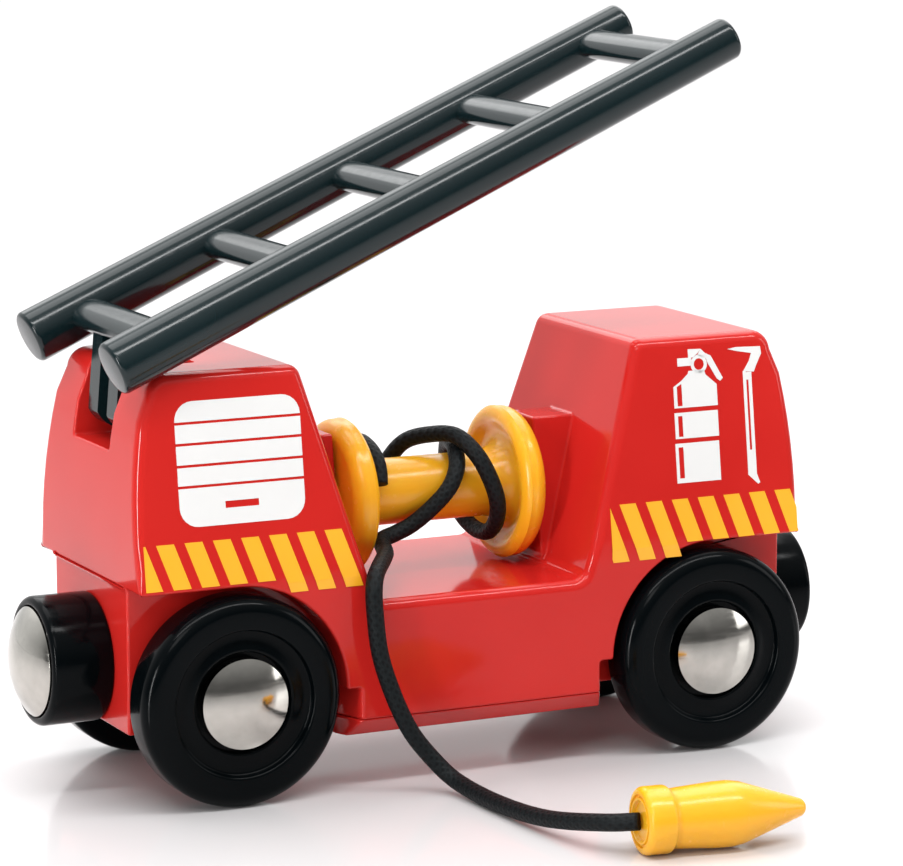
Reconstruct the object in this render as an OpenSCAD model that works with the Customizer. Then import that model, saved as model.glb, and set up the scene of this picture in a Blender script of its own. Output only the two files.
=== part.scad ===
// Toy fire engine for wooden railway track: hollow red body on four wheels, magnet couplers at both
// ends, a ladder that tilts on a pin, and a hose on a reel between the two blocks.
// Frame: +X is the front, +Z is up, z = 0 is the floor, x = 0 is midway between the axles, y = 0 is
// the centre plane. Millimetres.

/* [Body] */
// Length of the two blocks, end to end, at their widest
body_len = 77; // [70:0.2:93]
// Width of the body across its side faces
body_wid = 29; // [28:0.1:40]
// Width across the flat top of each block
top_wid = 23; // [22.4:0.2:27]
// Height of the blocks above the floor
block_top_z = 44.8; // [42:0.2:48]
// Height at which the blocks overhang the wheels
overhang_z = 22.9; // [22.6:0.1:24]
// Height of the deck between the blocks
deck_z = 20; // [18:0.1:20.5]
// Half length of the deck where the blocks' inner faces meet it
bay_half = 12.5; // [12:0.1:16]
// Lean of the blocks' inner faces, millimetres outwards for each millimetre up
bay_lean = 0.28; // [0.1:0.01:0.4]
// Radius of the slight bulge of the blocks' outer ends
end_bulge_r = 64; // [40:1:120]
// Height of the middle of that bulge
end_bulge_z = 28; // [24:0.5:34]
// Rounding of the blocks' upper outer corners
top_outer_r = 2.2; // [2:0.1:3]
// Rounding of the blocks' upper inner corners
top_inner_r = 1.4; // [0.8:0.1:2.5]
// Width of the chassis between the wheels
chassis_wid = 20.4; // [18:0.2:20.6]
// Step of the chassis ends back from the block ends
chassis_step = 0.3; // [0.1:0.1:1.5]
// Half length of the wide middle part at its side faces
mid_half = 13.9; // [13:0.1:14.2]
// Wall of the shell
wall = 1.8; // [1.4:0.1:2.2]

/* [Base plate] */
// Height of the shell's bottom edge above the floor
shell_z0 = 7.6; // [7:0.1:8]
// Depth of the middle pan that hangs below the shell, which is also its chamfer
pan_t = 2; // [1.4:0.1:2.6]
// Thickness of the slab that closes the shell
slab_t = 1.6; // [1.4:0.1:1.8]
// Radius of the base screws' threads
screw_r = 0.9; // [0.7:0.05:1.1]
// Radius of the base screws' heads
screw_head_r = 1.8; // [1.5:0.05:2.2]
// Distance of the base screws from the middle, along the length
screw_x = 20.2; // [19:0.1:20.6]
// Distance of the base screws from the centre plane
screw_y = 6.2; // [5.4:0.1:6.6]

/* [Wheels] */
// Wheel diameter
wheel_d = 22; // [20:0.2:24]
// Wheel width
wheel_w = 5; // [4:0.1:5.8]
// Distance between the axles
wheelbase = 55; // [54:0.2:60]
// Distance between the middles of the wheels on one axle
track = 26.4; // [26:0.2:32]
// Gap between a wheel and its arch
arch_gap = 0.9; // [0.6:0.1:1.5]
// Axle radius
axle_r = 1.25; // [1:0.05:1.5]
// Radius of the shiny hub cap
hub_r = 4.7; // [4:0.1:5.2]
// How far the hub cap's dome rises from its rim
hub_dome = 1; // [0.5:0.1:1.4]

/* [Couplers] */
// Height of the coupler axis above the floor
coupler_z = 14; // [13:0.1:15]
// Outer radius of the coupler cup
cup_r = 6.75; // [6:0.05:7.2]
// Length of the coupler cup
cup_len = 6.6; // [5.5:0.1:8]
// Radius of the magnet
magnet_r = 5.7; // [5:0.05:5.9]
// How far the magnet's dome stands out of the cup
magnet_dome = 2; // [1:0.1:2.6]

/* [Ladder] */
// Length of the rails
rail_len = 77; // [60:0.5:80]
// Rail radius at the hinge end
rail_r0 = 2.85; // [2.4:0.05:2.9]
// Rail radius at the far end
rail_r1 = 2.3; // [1.8:0.05:2.8]
// Distance between the rails' centre lines
rail_gap = 23.8; // [22:0.1:28]
// Number of rungs
rung_n = 5; // [3:1:7]
// Distance from the rails' hinge end to the first rung
rung_first = 6.4; // [5.5:0.1:7.5]
// Distance between rungs
rung_pitch = 16.35; // [10:0.05:16.6]
// Width of a rung along the rails
rung_w = 4.2; // [3:0.1:5]
// Thickness of a rung
rung_t = 2.8; // [2:0.1:3.4]
// Pitch of the ladder at rest, degrees above level
ladder_pitch = 23.6; // [12:0.2:30]
// Height of the hinge pin above the floor
hinge_z = 40.55; // [40.5:0.05:41]
// Distance of the hinge pin from the body's end
hinge_back = 4.7; // [4.6:0.1:6]
// Height of the rails' centre line above the pin, square to the rails
rail_rise = 7.3; // [7.25:0.05:8.5]
// Radius of the hinge legs round the pin
leg_r = 3.1; // [2.6:0.1:3.2]
// Thickness of each hinge leg
leg_t = 2.6; // [1.8:0.1:3]
// Gap between the two hinge legs
leg_gap = 2.6; // [1.6:0.1:3.4]
// Radius of the hinge pin
pin_r = 1; // [0.8:0.05:1.2]
// Width of the slot that the legs stand in
slot_wid = 10; // [9.6:0.1:11]
// Height of the slot's floor
slot_z = 36.4; // [34:0.1:36.8]

/* [Hose reel] */
// Height of the reel's axis above the floor
reel_z = 28.5; // [28.5:0.1:30]
// Place of the reel's middle along the length
reel_x = -0.15; // [-0.3:0.05:0.1]
// Length of the reel over its flanges
reel_len = 22.6; // [22:0.1:22.8]
// Radius of the drum
drum_r = 3.55; // [3:0.05:3.6]
// Radius of the flanges
flange_r = 8.2; // [7:0.1:8.3]
// Thickness of the flanges at the rim
flange_t = 3; // [2.4:0.1:3.1]
// Radius of the steel rod that the reel turns on
rod_r = 1; // [0.8:0.05:1.3]
// Width of the upright pillars that hold the rod, at their tops
pillar_top_wid = 5.4; // [4.6:0.2:7]
// Width of the pillars at the deck
pillar_foot_wid = 10; // [7:0.2:12]
// Half distance between the pillars
pillar_gap_half = 11.8; // [11.8:0.1:12.2]
// Height of the pillars' tops
pillar_top_z = 35.7; // [34:0.1:38]

/* [Hose] */
// Diameter of the hose
cord_d = 1.8; // [1.4:0.1:2]
// Radius of the nozzle's collar, which it lies on
nozzle_r = 3.4; // [3.4:0.1:4]
// Length of the nozzle
nozzle_len = 17.6; // [14:0.2:22]
// Radius of the nozzle's tip
tip_r = 1; // [0.7:0.1:1.4]

/* [Hidden] */
$fn = 64;

// Clearances
run_gap = 0.05;          // radial, of a pin or axle that turns in its bore
seat_gap = 0.1;          // between fixed pieces that drop into each other
eps = 0.01;              // overshoot of a cut through a face
over = 1;                // overshoot of a cut into open air
wall_root = 0.5;         // how far a pillar or boss runs into its wall
pan_taper = 0.2;         // share of its overhang that the pan keeps at its ends
cup_edge = 0.4;          // chamfer of a coupler cup's back edge
pocket_gap = 0.5;        // gap round a hub cap in the wheel's pocket
step_edge = 0.3;         // chamfers of the wheel's step
rung_short = 1;          // how far a rung stops short of the rail's centre line

// Body
wheel_r = wheel_d / 2;
arch_r = wheel_r + arch_gap;
half_len = body_len / 2;
half_wid = body_wid / 2;
half_top = top_wid / 2;
chassis_half = chassis_wid / 2;
chassis_end = half_len - chassis_step;
slab_top = shell_z0 + slab_t;
roof_z = block_top_z - wall;
deck_under_z = deck_z - wall;
axle_z = wheel_r;
axle_x = wheelbase / 2;
arch_foot = axle_x - arch_r;
arch_roof_z = overhang_z + wall;
bay_fillet = 1.5;        // hollow rounding between the deck and the blocks
top_round = 1.2;         // rounding of the blocks' long upper edges
channel = chassis_half - wall;
boss_skin = 0.7;         // plastic round a screw's head radius
screw_len = 6.4;
screw_head_h = 0.8;
screw_bite = 5.5;        // depth of a screw's hole in its boss

// Ladder hinge
hinge_x = -(half_len - hinge_back);
slot_front = hinge_x + leg_r + 2.2;
leg_bore_r = pin_r + run_gap;
pin_half = slot_wid / 2 + wall - seat_gap;
rail_back = 3.7;         // how far the rails reach behind the pin, along the rails
rail_end_r = 0.5;        // rounding of the rails' ends

// Reel
web_t = 1.5;              // thickness of a flange inside its rim
web_in = reel_len / 2 - web_t;
rod_seat = 2.7;          // length of the rod inside the front pillar
rod_end = pillar_gap_half + rod_seat;
rod_head_x = block_inner(reel_z) + wall;
rod_head_r = 1.9;
rod_head_h = 0.8;

// Couplers
cup_floor = 2;
screw_sink = screw_head_h + seat_gap;
cup_end = chassis_end + cup_len;
magnet_seat = chassis_end + cup_floor;
coupler_boss_len = 4.5;

// Wheel profile
hub_seat_depth = 1.6;    // depth of the hub cap's recess below the wheel's outer face
wheel_step_r = 0.69 * wheel_r;
wheel_step = 0.45;       // depth of the step inside the tread ring
tread_round = 1.5;
rear_round = 0.9;
axle_len = track + wheel_w - 2 * hub_seat_depth;

// Hose: route of its centre line, chosen by hand. It starts at the drum, makes its loose turns,
// drops over the deck's edge and ends in the nozzle.
cord_r = cord_d / 2;
nozzle_x = 0.3;
nozzle_y = -48.1;
nozzle_yaw = -7.8;
plug_r = nozzle_r - 1.2;
plug_len = 2.4;
cord_route = [
    [-7.2, -4.4, 30.2], [-6.9, -3.4, 32], [-6.8, -1.4, 33.3], [-6.9, 1.2, 33.9], [-7.1, 3.8, 33],
    [-6.9, 5.6, 30.4], [-5.6, 6, 27.6], [-3.3, 5.6, 28], [-1.9, 4.2, 31.4], [-0.7, 2.7, 33.3],
    [1, 0.3, 34.2], [2.6, -2.5, 34.4], [4, -4.6, 32.7], [5.2, -5.5, 30.2], [6.2, -5.4, 27.5],
    [6.7, -4.2, 25.2], [6.9, -1.9, 23.5], [6.9, 1.2, 23.2], [6.5, 3.8, 24.4], [6, 5.4, 26.8],
    [5.4, 5.3, 30], [4.6, 3.6, 32.3], [3.8, 0.9, 33.1], [2.9, -2, 32.6], [2.1, -3.9, 31.1],
    [0.8, -4.6, 29.1], [-1.3, -4.4, 27], [-3.3, -3.9, 25.4], [-5.2, -3.8, 24.6], [-7, -4.5, 24.2],
    [-7.7, -6.7, 23.5], [-9, -9.4, 23.5], [-12.9, -15.4, 22.6], [-13.3, -16.3, 19],
    [-12.6, -16.6, 13.8], [-10.2, -17.2, 7.4], [-7.4, -18, 3.4], [-5.6, -20.6, 1.3], [-5, -29, 1],
    [-4.2, -37.6, 1.6], [-2.1, -45.4, 2.9], [0.3, -48.1, 3.4]
];
cord_sides = 8;
ring_split = 1;          // extra rings between neighbouring route points

// x of the blocks' inner faces at a height
function block_inner(z) = bay_half + bay_lean * (z - deck_z);

// x of the blocks' outer ends at a height
function block_outer(z) = half_len - pow(z - end_bulge_z, 2) / (2 * end_bulge_r);

// half width of the body at a height
function side_half(z) = z <= overhang_z ? half_wid
    : half_wid + (half_top - half_wid) * (z - overhang_z) / (block_top_z - overhang_z);

function mirror_x(points) = [for (i = [len(points) - 1:-1:0]) [-points[i][0], points[i][1]]];

// Points round an arc from angle a0 to a1
function arc(cx, cy, r, a0, a1, n) =
    [for (i = [0:n]) [cx + r * cos(a0 + (a1 - a0) * i / n), cy + r * sin(a0 + (a1 - a0) * i / n)]];

// A point on a smooth curve through four neighbours
function catmull(a, b, c, d, t) = 0.5 * (2 * b + (c - a) * t + (2 * a - 5 * b + 4 * c - d) * t * t
    + (3 * b - a - 3 * c + d) * t * t * t);

function clamp_at(list, i) = list[max(0, min(len(list) - 1, i))];

function smooth(route, split) = [
    for (i = [0:len(route) - 2], k = [0:split])
        catmull(clamp_at(route, i - 1), route[i], route[i + 1], clamp_at(route, i + 2), k / (split + 1)),
    route[len(route) - 1]
];

function unit(v) = v / norm(v);

// Carries a normal along the path without twist
function carry(path, i, n) = let (
        a = clamp_at(path, i - 1),
        b = clamp_at(path, i + 1),
        t = unit(b - a))
    unit(n - (n * t) * t);

function normals(path, i = 0, n = [0.3, 0.5, 1], done = []) = i == len(path) ? done
    : let (m = carry(path, i, n)) normals(path, i + 1, m, concat(done, [m]));

// Half of one block's side view, from its foot at the deck, over the top and down the outer end
function block_outline() = let (
        inner_top = block_inner(block_top_z),
        outer_top = block_outer(block_top_z),
        lean = atan(bay_lean))
    concat(
        arc(inner_top + top_inner_r * tan(45 - lean / 2), block_top_z - top_inner_r,
            top_inner_r, 180 - lean, 90, 5),
        arc(outer_top - top_outer_r, block_top_z - top_outer_r, top_outer_r, 90, 4, 6),
        [for (i = [1:6]) let (z = block_top_z - top_outer_r
            + (overhang_z - block_top_z + top_outer_r) * i / 6) [block_outer(z), z]]);

module body_side_view() {
    right = concat(
        arc(bay_half - bay_fillet, deck_z + bay_fillet, bay_fillet, 270, 345, 5),
        block_outline(),
        [[chassis_end, overhang_z], [chassis_end, shell_z0]]);
    polygon(concat(mirror_x(right), right));
}

module body_end_view() {
    polygon(concat(
        [[half_wid, shell_z0], [half_wid, overhang_z]],
        arc(half_top - top_round, block_top_z - top_round, top_round, 8, 90, 5),
        arc(-half_top + top_round, block_top_z - top_round, top_round, 90, 172, 5),
        [[-half_wid, overhang_z], [-half_wid, shell_z0]]));
}

// Extrusions along Y and along X of an outline drawn in XZ or YZ
module along_y(half) {
    rotate([90, 0, 0]) translate([0, 0, -half]) linear_extrude(2 * half) children();
}

module along_x(half) {
    rotate([90, 0, 90]) translate([0, 0, -half]) linear_extrude(2 * half) children();
}

// Upright rib in front of the block's inner face, wider at its foot, with the rod's bore in it
module pillar() {
    depth = block_inner(pillar_top_z) - pillar_gap_half + wall_root;
    translate([pillar_gap_half + depth / 2, 0, 0]) along_x(depth / 2) polygon([
        [pillar_foot_wid / 2, deck_z - wall], [pillar_top_wid / 2, pillar_top_z],
        [-pillar_top_wid / 2, pillar_top_z], [-pillar_foot_wid / 2, deck_z - wall]]);
}

module body_outer() {
    intersection() {
        along_y(half_wid) body_side_view();
        along_x(half_len) body_end_view();
    }
    for (sx = [0, 1]) mirror([sx, 0, 0]) pillar();
}

// The space that one wheel turns in, open to the side and to the end
module wheel_well() {
    deep = half_wid - chassis_half + over;
    translate([axle_x, chassis_half, axle_z]) rotate([-90, 0, 0]) cylinder(r = arch_r, h = deep);
    translate([axle_x, chassis_half, 0]) cube([half_len, deep, overhang_z]);
    translate([arch_foot, chassis_half, 0]) cube([arch_r, deep, axle_z]);
    linear_extrude(axle_z) polygon([
        [arch_foot, chassis_half], [mid_half, half_wid], [mid_half, half_wid + over],
        [axle_x, half_wid + over], [axle_x, chassis_half]]);
}

module each_corner() {
    for (sx = [0, 1], sy = [0, 1]) mirror([sx, 0, 0]) mirror([0, sy, 0]) children();
}

// The hollow inside the shell: a channel between the wheels, a wide middle and the two blocks
module body_hollow() {
    translate([-chassis_end + wall, -channel, shell_z0 - eps])
        cube([2 * (chassis_end - wall), 2 * channel, deck_under_z - shell_z0 + eps]);
    translate([-mid_half + wall, -half_wid + wall, shell_z0 - eps])
        cube([2 * (mid_half - wall), 2 * (half_wid - wall), deck_under_z - shell_z0 + eps]);
    for (sx = [0, 1]) mirror([sx, 0, 0]) difference() {
        intersection() {
            along_y(half_wid) offset(delta = -wall) polygon(concat(
                [[block_inner(shell_z0 - 3), shell_z0 - 3]], block_outline(),
                [[chassis_end, overhang_z], [chassis_end, shell_z0 - 3]]));
            union() {
                translate([0, -channel, shell_z0 - eps]) cube([half_len, 2 * channel, block_top_z]);
                along_x(half_len) polygon([
                    [side_half(arch_roof_z) - wall, arch_roof_z], [side_half(roof_z) - wall, roof_z],
                    [-side_half(roof_z) + wall, roof_z], [-side_half(arch_roof_z) + wall, arch_roof_z]]);
            }
        }
        translate([block_inner(deck_z) - 6, -half_wid, 0]) cube([6 + wall, body_wid, deck_z]);
    }
}

module slot_space(grow) {
    translate([-half_len - over, -slot_wid / 2 - grow, slot_z - grow])
        cube([half_len + over + slot_front + grow, slot_wid + 2 * grow, block_top_z]);
}

// Bosses that the base screws bite into, and the two behind the couplers
module bosses() {
    for (sx = [-1, 1], sy = [-1, 1]) translate([sx * screw_x, sy * screw_y, slab_top + seat_gap])
        cylinder(r = screw_head_r + boss_skin, h = deck_under_z - slab_top + over);
    for (sx = [0, 1]) mirror([sx, 0, 0]) translate([chassis_end - wall - coupler_boss_len, 0, coupler_z])
        rotate([0, 90, 0]) cylinder(r = screw_head_r + boss_skin, h = coupler_boss_len + wall_root);
}

module body_shell() {
    color([0.82, 0.10, 0.11]) difference() {
        union() {
            difference() {
                body_outer();
                difference() {
                    body_hollow();
                    slot_space(wall);
                }
            }
            bosses();
        }
        each_corner() wheel_well();
        slot_space(0);
        for (s = [-1, 1]) translate([s * axle_x, 0, axle_z]) rotate([90, 0, 0])
            cylinder(r = axle_r + run_gap, h = body_wid, center = true);
        translate([hinge_x, 0, hinge_z]) rotate([90, 0, 0])
            cylinder(r = pin_r, h = 2 * pin_half, center = true);
        translate([-rod_head_x - over, 0, reel_z]) rotate([0, 90, 0])
            cylinder(r = rod_r, h = rod_head_x + over + rod_end);
        translate([-rod_head_x - rod_head_h - seat_gap, 0, reel_z]) rotate([0, 90, 0])
            cylinder(r = rod_head_r + seat_gap, h = rod_head_h + seat_gap);
        for (sx = [-1, 1], sy = [-1, 1]) translate([sx * screw_x, sy * screw_y, shell_z0])
            cylinder(r = screw_r, h = slab_t + screw_bite);
        for (sx = [0, 1]) mirror([sx, 0, 0]) translate([chassis_end - screw_bite, 0, coupler_z])
            rotate([0, 90, 0]) cylinder(r = screw_r, h = screw_bite + over);
    }
}

// Slab that closes the shell from below, with the pan that hangs in the middle, between the wheels
module base_plate() {
    slab_end = chassis_end - wall - seat_gap;
    slab_half = channel - seat_gap;
    mid_slab = mid_half - wall - seat_gap;
    mid_slab_half = half_wid - wall - seat_gap;
    pan_z = shell_z0 - pan_t;
    plan_end = chassis_half + (half_wid - chassis_half) * pan_taper;
    color([0.86, 0.12, 0.12]) difference() {
        union() {
            translate([-slab_end, -slab_half, shell_z0]) cube([2 * slab_end, 2 * slab_half, slab_t]);
            translate([-mid_slab, -mid_slab_half, shell_z0]) cube([2 * mid_slab, 2 * mid_slab_half, slab_t]);
            intersection() {
                along_x(arch_foot) polygon([
                    [half_wid - pan_t, pan_z], [half_wid, shell_z0],
                    [-half_wid, shell_z0], [-half_wid + pan_t, pan_z]]);
                translate([0, 0, pan_z]) linear_extrude(pan_t) polygon([
                    [arch_foot, -plan_end], [arch_foot, plan_end], [mid_half, half_wid],
                    [-mid_half, half_wid], [-arch_foot, plan_end], [-arch_foot, -plan_end],
                    [-mid_half, -half_wid], [mid_half, -half_wid]]);
            }
        }
        for (sx = [-1, 1], sy = [-1, 1]) translate([sx * screw_x, sy * screw_y, shell_z0 - eps]) {
            cylinder(r = screw_r + seat_gap, h = slab_t + over);
            cylinder(r = screw_head_r + seat_gap, h = screw_head_h + seat_gap + eps);
        }
    }
}

// A pan-head screw along +Z with its head at the origin
module screw() {
    slot_deep = 0.4;
    slot_len = 1.2 * screw_head_r;
    difference() {
        union() {
            cylinder(r = screw_head_r, h = screw_head_h);
            cylinder(r = screw_r, h = screw_len);
        }
        for (a = [0, 90]) rotate([0, 0, a])
            translate([-slot_len / 2, -slot_deep / 2, -eps]) cube([slot_len, slot_deep, slot_deep]);
    }
}

module base_screws() {
    color([0.7, 0.7, 0.72]) for (sx = [-1, 1], sy = [-1, 1])
        translate([sx * screw_x, sy * screw_y, shell_z0 + seat_gap]) screw();
}

module coupler_cup() {
    rim = 0.6;
    translate([chassis_end, 0, coupler_z]) rotate([0, 90, 0]) rotate_extrude() polygon(concat(
        [[screw_r + seat_gap, 0], [cup_r - cup_edge, 0], [cup_r, cup_edge]],
        arc(cup_r - rim, cup_len - rim, rim, 0, 90, 5),
        [[magnet_r + seat_gap, cup_len], [magnet_r + seat_gap, cup_floor],
         [screw_head_r + seat_gap, cup_floor], [screw_head_r + seat_gap, cup_floor - screw_sink],
         [screw_r + seat_gap, cup_floor - screw_sink]]));
}

module front_coupler_cup() {
    color([0.05, 0.05, 0.06]) coupler_cup();
}

module rear_coupler_cup() {
    color([0.05, 0.05, 0.06]) mirror([1, 0, 0]) coupler_cup();
}

// Disc magnet with a domed pole face
module magnet() {
    edge = 0.3;
    depth = cup_end - magnet_seat + edge;
    dome_r = (magnet_r * magnet_r + magnet_dome * magnet_dome) / (2 * magnet_dome);
    dome_a = asin(magnet_r / dome_r);
    translate([magnet_seat, 0, coupler_z]) rotate([0, 90, 0]) rotate_extrude() polygon(concat(
        [[0, 0], [magnet_r, 0]],
        arc(0, depth + magnet_dome - dome_r - edge, dome_r, 90 - dome_a, 90, 8)));
}

module front_magnet() {
    color([0.80, 0.80, 0.78]) magnet();
}

module rear_magnet() {
    color([0.80, 0.80, 0.78]) mirror([1, 0, 0]) magnet();
}

module coupler_screws() {
    color([0.7, 0.7, 0.72]) for (sx = [0, 1]) mirror([sx, 0, 0])
        translate([magnet_seat - seat_gap, 0, coupler_z]) rotate([0, -90, 0]) screw();
}

module axle(x) {
    translate([x, 0, axle_z]) rotate([90, 0, 0]) cylinder(r = axle_r, h = axle_len, center = true);
}

module front_axle() {
    color([0.75, 0.75, 0.77]) axle(axle_x);
}

module rear_axle() {
    color([0.75, 0.75, 0.77]) axle(-axle_x);
}

// Wheel about +Z, with its inner face at z = 0 and its outer face at z = wheel_w
module wheel() {
    hub_pocket = hub_r + pocket_gap;
    floor_z = wheel_w - hub_seat_depth;
    rotate_extrude() polygon(concat(
        [[axle_r, 0], [wheel_r - rear_round, 0]],
        arc(wheel_r - rear_round, rear_round, rear_round, 270, 360, 5),
        arc(wheel_r - tread_round, wheel_w - tread_round, tread_round, 0, 90, 8),
        [[wheel_step_r, wheel_w], [wheel_step_r - step_edge, wheel_w - wheel_step],
         [hub_pocket + step_edge, wheel_w - wheel_step], [hub_pocket, wheel_w - wheel_step - step_edge],
         [hub_pocket, floor_z], [axle_r, floor_z]]));
}

module hub_cap() {
    rim_z = hub_seat_depth - seat_gap;
    dome_r = (hub_r * hub_r + hub_dome * hub_dome) / (2 * hub_dome);
    dome_a = asin(hub_r / dome_r);
    rotate_extrude() polygon(concat(
        [[0, 0], [hub_r, 0]], arc(0, rim_z + hub_dome - dome_r, dome_r, 90 - dome_a, 90, 8)));
}

// Places a wheel or a hub cap: sx is the front or the rear axle, sy the left or the right side
module at_wheel(sx, sy, out) {
    translate([sx * axle_x, sy * (track / 2 - wheel_w / 2 + out), axle_z])
        rotate([-90 * sy, 0, 0]) children();
}

module front_left_wheel() {
    color([0.05, 0.05, 0.06]) at_wheel(1, 1, 0) wheel();
}

module front_right_wheel() {
    color([0.05, 0.05, 0.06]) at_wheel(1, -1, 0) wheel();
}

module rear_left_wheel() {
    color([0.05, 0.05, 0.06]) at_wheel(-1, 1, 0) wheel();
}

module rear_right_wheel() {
    color([0.05, 0.05, 0.06]) at_wheel(-1, -1, 0) wheel();
}

module front_left_hub_cap() {
    color([0.85, 0.85, 0.85]) at_wheel(1, 1, wheel_w - hub_seat_depth) hub_cap();
}

module front_right_hub_cap() {
    color([0.85, 0.85, 0.85]) at_wheel(1, -1, wheel_w - hub_seat_depth) hub_cap();
}

module rear_left_hub_cap() {
    color([0.85, 0.85, 0.85]) at_wheel(-1, 1, wheel_w - hub_seat_depth) hub_cap();
}

module rear_right_hub_cap() {
    color([0.85, 0.85, 0.85]) at_wheel(-1, -1, wheel_w - hub_seat_depth) hub_cap();
}

// Rail along +X from the hinge end, with softly rounded ends
module rail() {
    rotate([0, 90, 0]) rotate_extrude() polygon(concat(
        [[0, 0]], arc(rail_r0 - rail_end_r, rail_end_r, rail_end_r, 270, 360, 4),
        arc(rail_r1 - rail_end_r, rail_len - rail_end_r, rail_end_r, 0, 90, 4), [[0, rail_len]]));
}

function rung_x(i) = rung_first + i * rung_pitch - rail_back;

// The ladder level, with the pin at the origin and the rails along +X
module ladder_level() {
    for (s = [-1, 1]) translate([-rail_back, s * rail_gap / 2, rail_rise]) rail();
    for (i = [0:rung_n - 1]) translate([rung_x(i), 0, rail_rise]) along_y(rail_gap / 2 - rung_short)
        polygon([for (a = [0:15:345]) [rung_w / 2 * cos(a), rung_t / 2 * sin(a)]]);
    difference() {
        for (s = [-1, 1]) translate([0, s * (leg_gap + leg_t) / 2, 0]) along_y(leg_t / 2) union() {
            circle(r = leg_r);
            polygon([[-leg_r, 0], [leg_r, 0], [rung_x(0) + rung_w / 2, rail_rise],
                     [rung_x(0) - rung_w / 2, rail_rise]]);
        }
        rotate([90, 0, 0]) cylinder(r = leg_bore_r, h = slot_wid, center = true);
    }
}

module ladder() {
    color([0.08, 0.13, 0.14]) translate([hinge_x, 0, hinge_z]) rotate([0, -ladder_pitch, 0]) ladder_level();
}

module ladder_pin() {
    color([0.75, 0.75, 0.77]) translate([hinge_x, 0, hinge_z]) rotate([90, 0, 0])
        cylinder(r = pin_r, h = 2 * pin_half, center = true);
}

// Half of the reel's outline, from its middle out to the rim; r across, length up
function reel_half() = let (
        root = 1.3,
        edge = flange_t / 2,
        rim_z = reel_len / 2 - edge)
    concat(
        arc(drum_r + root, web_in - root, root, 180, 90, 5),
        arc(flange_r - edge, rim_z, edge, 225, 450, 12),
        [[rod_r + run_gap, reel_len / 2]]);

function mirror_y(points) = [for (i = [len(points) - 1:-1:0]) [points[i][0], -points[i][1]]];

module hose_reel() {
    color([0.96, 0.70, 0.12]) translate([reel_x, 0, reel_z]) rotate([0, 90, 0]) rotate_extrude()
        polygon(concat(mirror_y(reel_half()), reel_half()));
}

module reel_rod() {
    color([0.75, 0.75, 0.77]) translate([-rod_head_x, 0, reel_z]) rotate([0, 90, 0]) {
        cylinder(r = rod_r, h = rod_head_x + rod_end);
        translate([0, 0, -rod_head_h]) cylinder(r = rod_head_r, h = rod_head_h);
    }
}

// Tube with round-number route, as one closed skin
module hose_cord() {
    path = smooth(cord_route, ring_split);
    side = normals(path);
    rings = len(path);
    points = [for (i = [0:rings - 1]) let (
            t = unit(clamp_at(path, i + 1) - clamp_at(path, i - 1)),
            b = cross(t, side[i]))
        for (k = [0:cord_sides - 1]) let (a = 360 * k / cord_sides)
            path[i] + cord_r * (cos(a) * side[i] + sin(a) * b)];
    skin = [for (i = [0:rings - 2], k = [0:cord_sides - 1]) let (
            j = (k + 1) % cord_sides,
            p = i * cord_sides)
        [p + k, p + cord_sides + k, p + cord_sides + j, p + j]];
    start_cap = [[for (k = [0:cord_sides - 1]) k]];
    end_cap = [[for (k = [cord_sides - 1:-1:0]) (rings - 1) * cord_sides + k]];
    color([0.07, 0.07, 0.08]) polyhedron(points, concat(skin, start_cap, end_cap));
}

// Lays a piece drawn along +Z so that it points forwards along the floor, from the hose's end
module at_nozzle() {
    translate([nozzle_x, nozzle_y, nozzle_r]) rotate([0, 0, nozzle_yaw]) rotate([0, 90, 0]) children();
}

module nozzle() {
    collar = 3;
    belly_r = nozzle_r - 0.1;
    belly_z = 0.53 * nozzle_len;
    color([0.98, 0.76, 0.15]) at_nozzle() rotate_extrude() polygon(concat(
        [[plug_r, 0]], arc(nozzle_r - 0.5, 0.5, 0.5, 270, 360, 4),
        arc(nozzle_r - 0.5, collar - 0.5, 0.5, 0, 60, 3),
        [[nozzle_r - 0.45, collar + 0.4], [nozzle_r - 0.35, collar + 1.5], [belly_r, belly_z - 1],
         [belly_r, belly_z], [belly_r - 0.2, belly_z + 1.2]],
        arc(0, nozzle_len - tip_r, tip_r, 20, 90, 6),
        [[0, plug_len], [plug_r, plug_len]]));
}

module nozzle_plug() {
    sunk = 0.3;
    color([0.98, 0.76, 0.15]) at_nozzle() translate([0, 0, sunk]) cylinder(r = plug_r, h = plug_len - sunk);
}

body_shell();
base_plate();
base_screws();
front_coupler_cup();
rear_coupler_cup();
front_magnet();
rear_magnet();
coupler_screws();
front_axle();
rear_axle();
front_left_wheel();
front_right_wheel();
rear_left_wheel();
rear_right_wheel();
front_left_hub_cap();
front_right_hub_cap();
rear_left_hub_cap();
rear_right_hub_cap();
ladder();
ladder_pin();
hose_reel();
reel_rod();
hose_cord();
nozzle();
nozzle_plug();
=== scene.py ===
# %% [markdown]
# # A toy fire engine for a wooden railway
# This lesson dresses an engineering model of a small toy: a hollow red body on four black wheels,
# with magnet couplers, a ladder that tilts and a hose on a reel. The frame gives every size in metres,
# so pieces are built where the frame says, with no fitting. The long axis is X, and the front is +X.

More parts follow.
